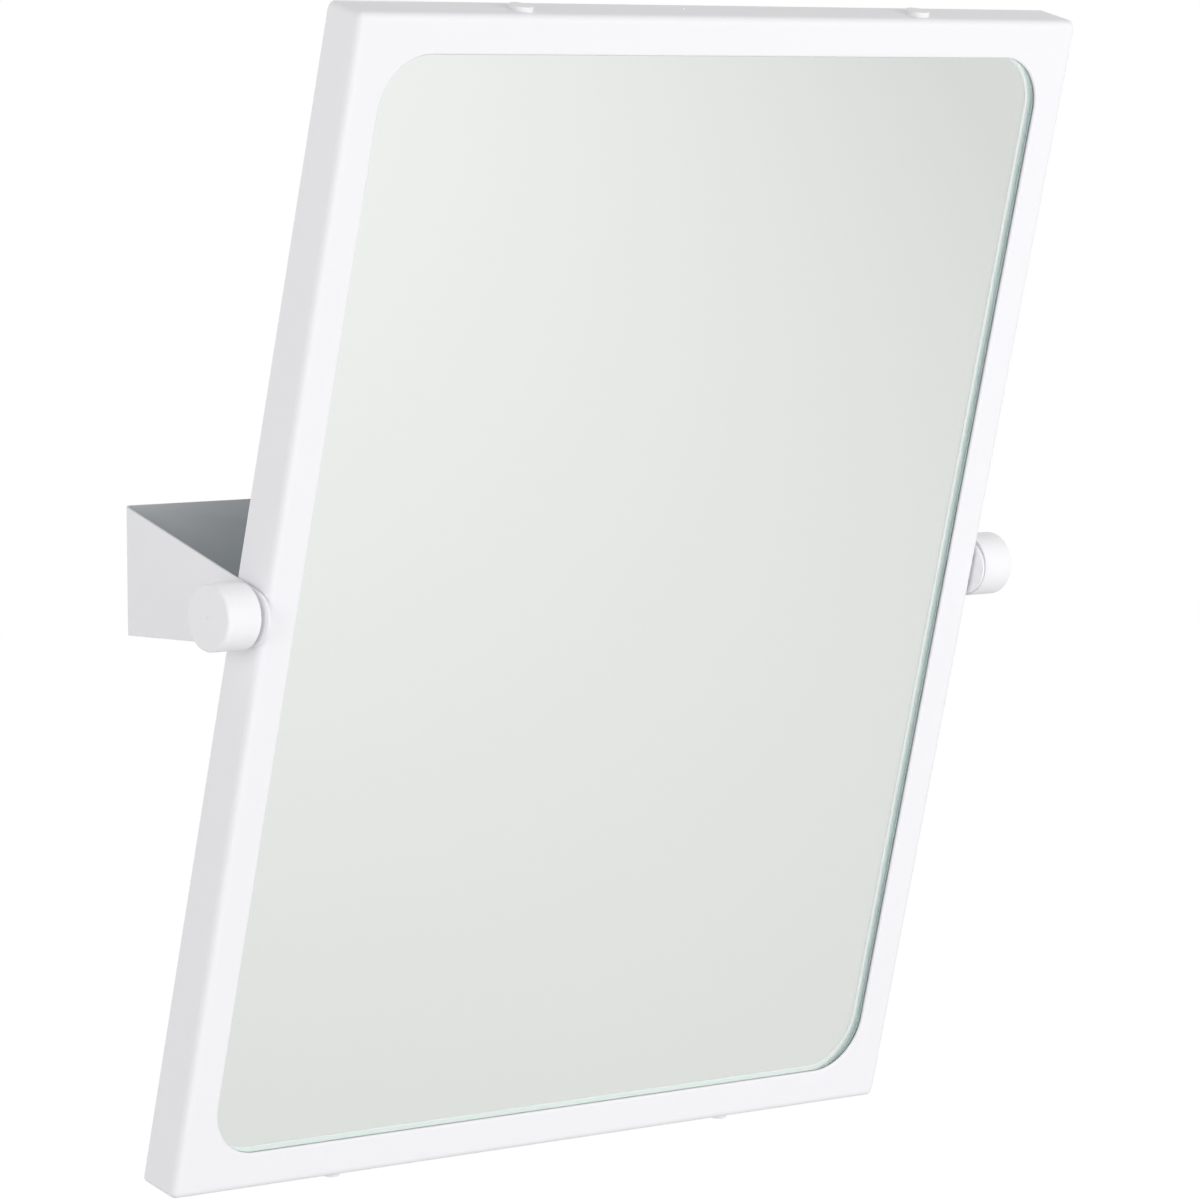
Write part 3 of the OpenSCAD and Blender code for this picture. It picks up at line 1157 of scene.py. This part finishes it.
@dataclass
class ScrewCap:
    """A low cover disc over a tray screw: a cup with a round upper rim."""

    space: MirrorSpace
    side: Side
    edge: Edge
    rim_r: float = 0.5
    rim_steps: int = 5
    wall_t: float = 0.8
    sides: int = 72
    rings_across: int = 6

    def build(self) -> None:
        """Models the cap and puts it in its place."""
        where = f"{self.edge.name.lower()}_{self.side.node_end}"
        node = f"screw_cap_{where}"
        low, high = self.space.box(node)
        diameter = high.x - low.x
        height = high.z - low.z
        work = Workpiece(f"cap_{where}")
        work.rod(diameter, height, Vector((0, 0, 0)), Vector((0, 0, 1)), self.sides)
        work.select_edges(lambda point: point.z > height - TINY)
        work.round_edges(self.rim_r, self.rim_steps)
        work.select_facing(Vector((0, 0, 1)), lambda middle: middle.z > height - TINY)
        work.inset(self.rim_r)
        work.inset(diameter / self.rings_across)
        work.select_facing(Vector((0, 0, -1)), lambda middle: middle.z < TINY)
        bpy.ops.mesh.delete(type="FACE")
        work.tidy()
        work.modify("SOLIDIFY", thickness=self.wall_t, offset=-1.0, use_even_offset=True)
        foot = middle_of(low, high)
        foot.z = low.z if self.edge is Edge.TOP else high.z
        turn = Matrix.Rotation(0 if self.edge is Edge.TOP else math.pi, 4, "X")
        place = self.space.to_row @ Matrix.Translation(foot) @ turn
        work.hand_over(place, CAP_WHITE, Body.MIRROR, node)


@dataclass
class RearTray:
    """The closing tray: a back panel with a sunk field, a rib ring, low ribs and screw bosses."""

    space: MirrorSpace
    panel_t: float = 2.0
    edge_r: float = 0.5
    edge_steps: int = 4
    corner_r: float = 0.8
    rim_w: float = 7.0
    field_sink: float = 0.5
    field_rim: float = 1.5
    rib_t: float = 2.0
    rib_draft: float = 0.25
    rib_root: float = 0.5
    foam_inset: float = 1.0
    foam_w: float = 8.0
    glass_lap: float = 6.0
    low_ribs: int = 4
    low_rib_h: float = 3.0
    boss_w: float = 14.0
    boss_guard: float = 1.5
    boss_edge_r: float = 1.0
    screw_hole_d: float = 4.0
    screw_hole_sides: int = 32

    def __post_init__(self) -> None:
        """Lays out the work and reads the sizes that the CAD tray and foam give."""
        self.work = Workpiece("closing_tray")
        self.low, self.high = self.space.box("rear_tray")
        foam_low, foam_high = self.space.box("foam_ring")
        self.rib_front = foam_high.y
        self.panel_front = self.high.y - self.panel_t
        self.root = self.panel_front + self.rib_root
        self.ring_w = foam_high.x - foam_low.x - self.foam_w
        self.ring_h = foam_high.z - foam_low.z - self.foam_w
        self.ring_r = (self.space.window_r + self.glass_lap - self.foam_inset
                       - self.foam_w / 2)

    def panel(self) -> None:
        """Raises the back panel with its rounded edge and sunk field."""
        width, height = self.high.x - self.low.x, self.high.z - self.low.z
        back = self.high.y
        field_y = back - self.field_sink
        edge = quarter((self.edge_r, back - self.edge_r), self.edge_r, 90, self.edge_steps)
        section = [
            (0.0, self.panel_front),
            *reversed(edge),
            (self.rim_w, back),
            (self.rim_w + self.field_sink, field_y),
            (self.rim_w + self.field_rim, field_y),
        ]
        self.work.loft([Ring(width - 2 * inset, height - 2 * inset, self.corner_r + inset, depth)
                        for inset, depth in section], closed=False)

    def rib_ring(self) -> None:
        """Joins on the ring that presses the foam to the glass, a little slimmer at its front."""
        half, front, root = self.rib_t / 2, self.rib_front, self.root
        slim = half - self.rib_draft
        tool = Workpiece("rib_ring")
        tool.loft([Ring(self.ring_w + 2 * grow, self.ring_h + 2 * grow, self.ring_r + grow, depth)
                   for grow, depth in ((slim, front), (half, root), (-half, root),
                                       (-slim, front))], closed=True)
        self.work.cut(tool, "UNION")

    def low_rib_rows(self) -> None:
        """Joins on the low upright ribs."""
        half, front = self.rib_t / 2, self.panel_front - self.low_rib_h
        tool = Workpiece("low_ribs")
        for row in range(1, self.low_ribs + 1):
            across = self.ring_w * (row / (self.low_ribs + 1) - 0.5)
            tool.block(Vector((across - half, front, -self.ring_h / 2)),
                       Vector((across + half, self.root, self.ring_h / 2)))
        self.work.cut(tool, "UNION")

    def bosses(self) -> None:
        """Joins on the four screw bosses and drills them."""
        glass_top = self.space.box("mirror_glass")[1].z
        inner = glass_top + self.boss_guard
        bosses, drills = Workpiece("bosses"), Workpiece("drills")
        for side in Side:
            for edge in Edge:
                ends = sorted((edge.value * inner, edge.value * self.high.z))
                start = self.space.screw(side, edge, inner - self.boss_guard)
                bosses.open()
                bosses.block(Vector((start.x - self.boss_w / 2, self.low.y, ends[0])),
                             Vector((start.x + self.boss_w / 2, self.root, ends[1])))
                drills.open()
                drills.rod(self.screw_hole_d, self.high.z - inner + 2 * self.boss_guard, start,
                           Vector((0, 0, edge.value)), self.screw_hole_sides)
        bosses.open()
        bosses.select_edges(lambda point: point.y < self.low.y + TINY)
        bosses.round_edges(self.boss_edge_r, FINE_STEPS)
        self.work.cut(bosses, "UNION")
        self.work.cut(drills)

    def build(self) -> None:
        """Models the tray and puts it in its place."""
        self.panel()
        self.rib_ring()
        self.low_rib_rows()
        self.bosses()
        self.work.tidy()
        self.work.hand_over(self.space.to_row, TRAY_PLASTIC, Body.MIRROR, "rear_tray")


# ---------------------------------------------------------------- washers, knobs and bracket


@dataclass
class Washer:
    """A flat nylon washer with broken edges, on the pivot axis."""

    node: str
    body: Body
    bore_d: float
    edge_r: float
    sides: int = 96

    def build(self) -> None:
        """Models the washer and puts it in its place."""
        axis = Vector((1, 0, 0))
        low, high = row_box(self.node)
        foot = middle_of(low, high)
        foot.x = low.x
        thickness = high.x - low.x
        work = Workpiece(self.node.replace("washer", "disc"))
        work.rod(high.z - low.z, thickness, Vector((0, 0, 0)), axis, self.sides)
        for end in (0.0, thickness):
            work.select_edges(lambda point, end=end: abs(point.x - end) < TINY)
            work.round_edges(self.edge_r, FINE_STEPS)
        tool = Workpiece("bore")
        tool.rod(self.bore_d, 3 * thickness, -axis * thickness, axis, self.sides)
        work.cut(tool)
        work.tidy()
        work.hand_over(Matrix.Translation(foot), WASHER_NYLON, self.body, self.node)


@dataclass
class ClampKnob:
    """A plain round knob that clamps the mirror to an arm, with the stud's seat inside."""

    side: Side
    body: Body
    rim_r: float = 1.6
    rim_steps: int = 8
    heel_r: float = 0.6
    heel_steps: int = 4
    bore_d: float = 10.04
    bore_l: float = 2.0
    head_d: float = 15.1
    head_l: float = 5.55
    dimple_d: float = 1.8
    dimple_h: float = 0.4
    support: float = 0.4
    sides: int = 128

    def __post_init__(self) -> None:
        """Lays out the work and reads the sizes that the CAD knob gives."""
        self.node = f"knob_{self.side.node_end}"
        self.work = Workpiece(f"clamp_{self.node}")
        self.low, self.high = row_box(self.node)
        self.diameter = self.high.z - self.low.z
        self.length = self.high.x - self.low.x

    def outside(self) -> None:
        """Shapes the rims and the marked end face."""
        self.work.select_edges(lambda point: point.x > self.length - TINY)
        self.work.round_edges(self.rim_r, self.rim_steps)
        self.work.select_edges(lambda point: point.x < TINY)
        self.work.round_edges(self.heel_r, self.heel_steps)
        self.work.select_facing(Vector((1, 0, 0)), lambda middle: middle.x > self.length - TINY)
        self.work.inset(self.support)
        self.work.inset(self.diameter / 2 - self.rim_r - self.support - self.dimple_d)
        self.work.inset(self.dimple_d / 2)
        self.work.extrude(Vector((-self.dimple_h, 0, 0)))

    def inside(self) -> None:
        """Sinks the bore and the seat of the stud's head."""
        self.work.select_facing(Vector((-1, 0, 0)), lambda middle: middle.x < TINY)
        self.work.inset(self.diameter / 2 - self.heel_r - self.bore_d / 2)
        self.work.extrude(Vector((self.bore_l, 0, 0)))
        self.work.extrude(Vector((0, 0, 0)))
        wider = self.head_d / self.bore_d
        bpy.ops.transform.resize(value=(1, wider, wider), center_override=(self.bore_l, 0, 0))
        self.work.extrude(Vector((self.head_l, 0, 0)))

    def build(self) -> None:
        """Models the knob and puts it in its place."""
        start, along = Vector((0, 0, 0)), Vector((1, 0, 0))
        self.work.rod(self.diameter, self.length, start, along, self.sides)
        self.outside()
        self.inside()
        self.work.tidy()
        foot = middle_of(self.low, self.high)
        foot.x = self.low.x if self.side is Side.RIGHT else self.high.x
        turn = Matrix.Rotation(0 if self.side is Side.RIGHT else math.pi, 4, "Z")
        self.work.hand_over(Matrix.Translation(foot) @ turn, KNOB_WHITE, self.body, self.node)


@dataclass
class WallBracket:
    """One bent sheet: a wall plate with an arm on each side that ends in a round nose."""

    pivot: Vector
    sheet_t: float = 1.5
    bend_r: float = 3.0
    nose_r: float = 14.0
    bend_steps: int = 10
    nose_steps: int = 28
    edge_r: float = 0.3
    edge_angle: float = math.radians(40)
    shoulder_hole_d: float = 10.1
    shoulder_hole_sides: int = 64
    wall_hole_d: float = 6.5
    wall_hole_sides: int = 48
    wall_hole_x: float = 280.0
    wall_hole_z: float = 32.0
    fold_spare: float = 10.0
    drill_spare: float = 5.0

    def __post_init__(self) -> None:
        """Lays out the work and reads the outer sizes from the CAD bracket."""
        self.work = Workpiece("bent_bracket")
        self.low, self.high = row_box("wall_bracket")
        self.nose = Vector((0, self.low.y + self.nose_r, self.low.z + self.nose_r))

    @property
    def slope_touch(self) -> float:
        """Angle in the side view at which the sloping edge touches the nose.

        Returns:
            The angle in radians.
        """
        back = -self.nose.y
        up = self.high.z - self.nose.z
        return math.atan2(up, back) + math.acos(self.nose_r / math.hypot(back, up))

    def fold(self) -> None:
        """Draws half of the folded sheet's back and raises it to its full height."""
        bottom, outer = self.low.z, self.high.x
        bpy.ops.mesh.primitive_plane_add(size=1, location=(0, 0, bottom))
        bpy.ops.mesh.merge(type="CENTER")
        self.work.extrude(Vector((outer - self.bend_r, 0, 0)))
        bpy.ops.mesh.spin(steps=self.bend_steps, angle=math.pi / 2, axis=(0, 0, 1),
                          center=(outer - self.bend_r, -self.bend_r, bottom))
        self.work.select_points(lambda point: point.x > outer - TINY)
        self.work.extrude(Vector((0, self.low.y + self.bend_r, 0)))
        bpy.ops.mesh.select_all(action="SELECT")
        self.work.extrude(Vector((0, 0, self.high.z - bottom + self.fold_spare)))

    def trim(self) -> None:
        """Trims the arms of the folded sheet along the sloping edge and round the nose."""
        end = math.radians(270)
        for step in range(self.nose_steps + 1):
            angle = self.slope_touch + (end - self.slope_touch) * step / self.nose_steps
            way = Vector((0, math.cos(angle), math.sin(angle)))
            bpy.ops.mesh.select_all(action="SELECT")
            bpy.ops.mesh.bisect(plane_co=self.nose + way * self.nose_r, plane_no=way,
                                clear_outer=True)

    def drill(self) -> None:
        """Drills the pivot holes and the wall screw holes."""
        spare = self.drill_spare
        tool = Workpiece("drills")
        for side in Side:
            start = self.pivot.copy()
            start.x = side.value * (self.high.x - spare)
            tool.rod(self.shoulder_hole_d, 2 * spare, start, Vector((side.value, 0, 0)),
                     self.shoulder_hole_sides)
            for edge in Edge:
                start = Vector((side.value * self.wall_hole_x / 2, -spare,
                                edge.value * self.wall_hole_z / 2))
                tool.rod(self.wall_hole_d, 2 * spare, start, Vector((0, 1, 0)),
                         self.wall_hole_sides)
        self.work.cut(tool)

    def build(self) -> None:
        """Models the bracket and puts it in its place."""
        self.fold()
        self.trim()
        self.work.modify("MIRROR", use_axis=(True, False, False), use_mirror_merge=True,
                         merge_threshold=TINY)
        self.work.tidy()
        self.work.modify("SOLIDIFY", thickness=self.sheet_t, offset=-1.0, use_even_offset=True)
        self.drill()
        self.work.modify("BEVEL", width=self.edge_r, segments=FINE_STEPS, limit_method="ANGLE",
                         angle_limit=self.edge_angle, use_clamp_overlap=False)
        self.work.hand_over(Matrix.Identity(4), BRACKET_PAINT, Body.BRACKET, "wall_bracket")


# ---------------------------------------------------------------- CAD pieces that stay


@dataclass(frozen=True)
class Hardware:
    """CAD nodes of one kind, which keep their shape and only get a better finish."""

    name_start: str
    finish: Finish

    def dress(self) -> None:
        """Gives each node of this kind its finish."""
        for name, node in frame["nodes"].items():
            if name.startswith(self.name_start):
                node.data.materials.clear()
                node.data.materials.append(self.finish.material())
                LOG.info("%s: %s", name, self.finish.slot.value)


# ---------------------------------------------------------------- studio and camera


@dataclass
class Lamp:
    """A soft square lamp, given by its direction and distance from what it looks at."""

    name: str
    across_deg: float
    up_deg: float
    distance: float
    size: float
    power: float

    def build(self, target: Vector) -> None:
        """Hangs the lamp.

        Args:
            target: The point that it looks at, in metres.
        """
        across, up = math.radians(self.across_deg), math.radians(self.up_deg)
        way = Vector((math.sin(across) * math.cos(up), -math.cos(across) * math.cos(up),
                      math.sin(up)))
        data = bpy.data.lights.new(self.name, "AREA")
        data.shape = "SQUARE"
        data.size = self.size
        data.energy = self.power
        lamp = bpy.data.objects.new(self.name, data)
        bpy.context.scene.collection.objects.link(lamp)
        lamp.location = target + way * self.distance
        lamp.rotation_euler = way.to_track_quat("Z", "Y").to_euler()
        lamp.visible_glossy = False
        lamp.visible_transmission = False


@dataclass
class Studio:
    """Plain pale floor, soft level light, a white background, and painted light on the floor for
    rays from metal or glass.
    """

    floor_z: float = -1.2
    floor_size: float = 24.0
    floor_cells: int = 8
    floor_colour: Colour = (0.82, 0.82, 0.82)
    near_glow: Point2 = (1.5, 0.40)
    far_glow: Point2 = (5.0, 0.56)
    # painted light on the floor, seen only by rays from metal or glass: a soft gradient of glow
    # by place
    mirrored_tone: Colour = (1.0, 0.982, 0.993)
    mirrored_level: float = 0.604
    mirrored_across: Point2 = (0.166, -0.0725)
    mirrored_away: float = -0.1346
    mirrored_range: Point2 = (0.79, 1.01)
    zenith_light: float = 0.092
    level_light: float = 1.049
    white: Colour = (1.0, 1.0, 1.0)
    reflected: Colour = (0.93, 0.94, 0.93)
    lamps: list[Lamp] = field(default_factory=lambda: [
        Lamp("front_lamp", 25.0, 5.0, 2.8, 1.2, 26.8),
        Lamp("side_lamp", -75.0, 5.0, 3.0, 1.6, 24.1),
    ])

    def mirrored_rays(self, wiring: Wiring, path: Sockets) -> bpy.types.Node:
        """Adds a mask of the rays that come from metal or glass.

        Args:
            wiring: The node tree.
            path: What the Light Path node puts out.

        Returns:
            The mask.
        """
        return wiring.add("Math", operation="ADD", use_clamp=True,
                          in_0=path["Is Glossy Ray"], in_1=path["Is Transmission Ray"])

    def floor_glow(self, wiring: Wiring, place: bpy.types.NodeSocket) -> bpy.types.Node:
        """Wires the floor's own glow, which evens it out towards the white background.

        Args:
            wiring: The floor material's nodes.
            place: The place on the floor.

        Returns:
            The strength of the glow.
        """
        away = wiring.add("VectorMath", operation="LENGTH", in_0=place).outputs["Value"]
        return wiring.add("MapRange", in_Value=away, in_From_Min=self.near_glow[0],
                          in_From_Max=self.far_glow[0], in_To_Min=self.near_glow[1],
                          in_To_Max=self.far_glow[1])

    def mirrored_floor(self, wiring: Wiring, place: bpy.types.NodeSocket) -> bpy.types.Node:
        """Wires painted light on the floor: a soft gradient of glow that metal and glass show.

        Args:
            wiring: The floor material's nodes.
            place: The place on the floor.

        Returns:
            The strength of the painted light.
        """
        across, away, _ = wiring.add("SeparateXYZ", in_0=place).outputs
        slope = wiring.add("Math", operation="MULTIPLY_ADD", in_0=across,
                           in_1=self.mirrored_across[1], in_2=self.mirrored_across[0])
        depth = wiring.add("Math", operation="MULTIPLY_ADD", in_0=away,
                           in_1=self.mirrored_away, in_2=self.mirrored_level)
        # painted light: a soft saddle of glow across the floor
        tone = wiring.add("Math", operation="MULTIPLY_ADD", in_0=across, in_1=slope, in_2=depth)
        return wiring.add("Clamp", in_Value=tone, in_Min=self.mirrored_range[0],
                          in_Max=self.mirrored_range[1])

    def floor_material(self) -> bpy.types.Material:
        """Makes the floor's paint: pale, as white as the background, with painted light for rays
        from metal or glass, and clear from below.

        Returns:
            The material.
        """
        material = bpy.data.materials.new("studio_floor")
        material.use_nodes = True
        wiring = Wiring(material.node_tree)
        place = wiring.add("TexCoord").outputs["Object"]
        path = wiring.add("LightPath").outputs
        share = wiring.add("Math", operation="MULTIPLY", in_0=path["Is Camera Ray"],
                           in_1=self.floor_glow(wiring, place))
        paint = wiring.add("BsdfDiffuse", in_Color=with_alpha(self.floor_colour))
        glow = wiring.add("Emission", in_Strength=share)
        # painted light that metal and glass see on the floor instead of its lit paint
        painted_light = wiring.add("Emission", in_Color=with_alpha(self.mirrored_tone),
                           in_Strength=self.mirrored_floor(wiring, place))
        upper = wiring.add("MixShader", in_0=self.mirrored_rays(wiring, path),
                           in_1=wiring.add("AddShader", in_0=paint, in_1=glow), in_2=painted_light)
        below = wiring.add("NewGeometry").outputs["Backfacing"]
        clear = wiring.add("BsdfTransparent")
        wiring.add("OutputMaterial",
                   in_Surface=wiring.add("MixShader", in_0=below, in_1=upper, in_2=clear))
        return material

    def floor(self) -> None:
        """Lays the floor."""
        bpy.ops.object.select_all(action="DESELECT")
        bpy.ops.mesh.primitive_grid_add(x_subdivisions=self.floor_cells,
                                        y_subdivisions=self.floor_cells, size=self.floor_size,
                                        location=(0, 0, self.floor_z))
        floor = bpy.context.active_object
        floor.name = "studio_floor"
        floor.data.materials.append(self.floor_material())

    def sky(self) -> None:
        """Sets the background: white to the camera, a soft light that is stronger near level."""
        world = bpy.data.worlds.new("studio")
        bpy.context.scene.world = world
        world.use_nodes = True
        wiring = Wiring(world.node_tree)
        path = wiring.add("LightPath").outputs
        way = wiring.add("SeparateXYZ", in_0=wiring.add("TexCoord").outputs["Generated"])
        level = wiring.add("Math", operation="ABSOLUTE", in_0=way.outputs["Y"])
        strength = wiring.add("Math", operation="MULTIPLY_ADD", in_0=level,
                              in_1=self.level_light, in_2=self.zenith_light)
        soft, mirrored, white = (wiring.add("Background", in_Color=with_alpha(colour)) for colour
                                 in (self.white, self.reflected, self.white))
        wiring.feed(soft.inputs["Strength"], strength)
        lit = wiring.add("MixShader", in_0=self.mirrored_rays(wiring, path), in_1=soft,
                         in_2=mirrored)
        seen = wiring.add("MixShader", in_0=path["Is Camera Ray"], in_1=lit, in_2=white)
        wiring.add("OutputWorld", in_Surface=seen)

    def build(self, target: Vector) -> None:
        """Sets up floor, background and lamps.

        Args:
            target: The point that the lamps look at, in metres.
        """
        bpy.context.scene.view_settings.view_transform = "Standard"
        self.floor()
        self.sky()
        for lamp in self.lamps:
            lamp.build(target)


@dataclass(frozen=True)
class PhotoCamera:
    """The photograph's camera, found by fitting the mirror's edges to it."""

    target: Vector
    focal_px: float = 6062.89
    yaw: float = math.radians(41.507)
    pitch: float = math.radians(4.276)
    roll: float = math.radians(-0.383)
    distance: float = 3.07309
    target_px: Point2 = (621.20, 588.86)
    image_px: float = 1200.0
    sensor_mm: float = 36.0

    def build(self) -> None:
        """Places the camera so that the target falls on its pixel."""
        ahead = Vector((math.sin(self.yaw) * math.cos(self.pitch),
                        math.cos(self.yaw) * math.cos(self.pitch), -math.sin(self.pitch)))
        level = Vector((math.cos(self.yaw), -math.sin(self.yaw), 0))
        upright = level.cross(ahead)
        right = level * math.cos(self.roll) + upright * math.sin(self.roll)
        up = upright * math.cos(self.roll) - level * math.sin(self.roll)
        off_x = (self.target_px[0] - self.image_px / 2) / self.focal_px * self.distance
        off_y = -(self.target_px[1] - self.image_px / 2) / self.focal_px * self.distance
        place = self.target - ahead * self.distance - right * off_x - up * off_y
        data = bpy.data.cameras.new("photo_camera")
        data.sensor_width = self.sensor_mm
        data.lens = self.focal_px / self.image_px * self.sensor_mm
        camera = bpy.data.objects.new("photo_camera", data)
        bpy.context.scene.collection.objects.link(camera)
        turn = Matrix((right, up, -ahead)).transposed().to_4x4()
        camera.matrix_world = Matrix.Translation(place) @ turn
        bpy.context.scene.camera = camera


def main() -> None:
    """Builds the pieces in order and sets the scene."""
    logging.basicConfig(level=logging.INFO, format="%(name)s: %(message)s")
    pivot = joint_place("tilt")
    space = MirrorSpace(pivot)
    FrameMoulding(space).build()
    Pane(space, "glass_pane", "mirror_glass", FLOAT_GLASS, chamfer=0.5, front_shift=0.03).build()
    Pane(space, "silver_coat", "silver_backing", SILVER, chamfer=0.1, trim=0.5,
         front_shift=-0.02).build()
    for edge in Edge:
        for side in Side:
            ScrewCap(space, side, edge).build()
    RearTray(space).build()
    WallBracket(pivot).build()
    for side, body in ((Side.LEFT, Body.LEFT_KNOB), (Side.RIGHT, Body.RIGHT_KNOB)):
        ClampKnob(side, body).build()
        Washer(f"spacer_washer_{side.node_end}", body, bore_d=10.04, edge_r=0.3).build()
        Washer(f"friction_washer_{side.node_end}", Body.MIRROR, bore_d=10.1,
               edge_r=0.15).build()
    for start, finish in (("foam_ring", FOAM), ("pivot_block", BLOCK_NYLON),
                          ("insert", INSERT_BRASS), ("stud", ZINC_STEEL),
                          ("tray_screw", ZINC_STEEL)):
        Hardware(start, finish).dress()
    target = pivot * MM
    Studio().build(target)
    PhotoCamera(target).build()


if __name__ == "__main__":
    main()
